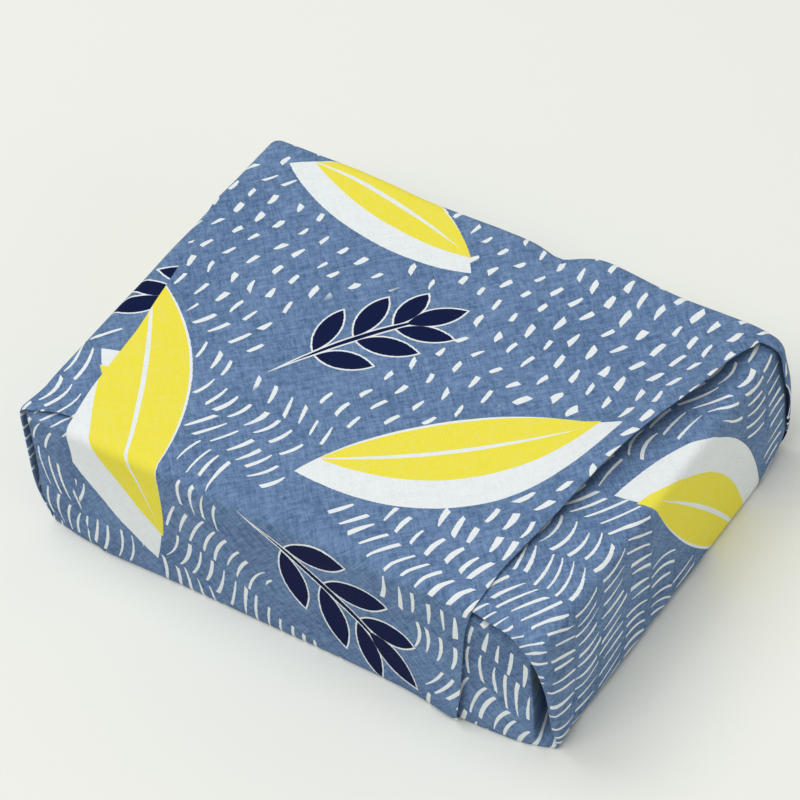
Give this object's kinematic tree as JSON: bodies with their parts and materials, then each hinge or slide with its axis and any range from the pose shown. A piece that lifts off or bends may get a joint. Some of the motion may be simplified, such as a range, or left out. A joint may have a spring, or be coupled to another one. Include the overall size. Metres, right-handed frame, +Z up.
{
  "type": "furoshiki wrap",
  "caption": "Flat box wrapped without a knot in one square printed cotton cloth, its last flap drawn over the top and front and its tip tucked under.",
  "frame": {"origin": "middle of the underside, on the surface the parcel rests on", "axes": "+X along the parcel to its right end, +Y to its back, where the last flap comes up, +Z up"},
  "size_m": [0.2434, 0.1832, 0.0668],
  "materials": {
    "printed_cotton": "plain-woven cotton, blue ground printed in white, yellow and navy"
  },
  "bodies": {
    "root": {"furoshiki_wrap": "printed_cotton"}
  },
  "joints": []
}
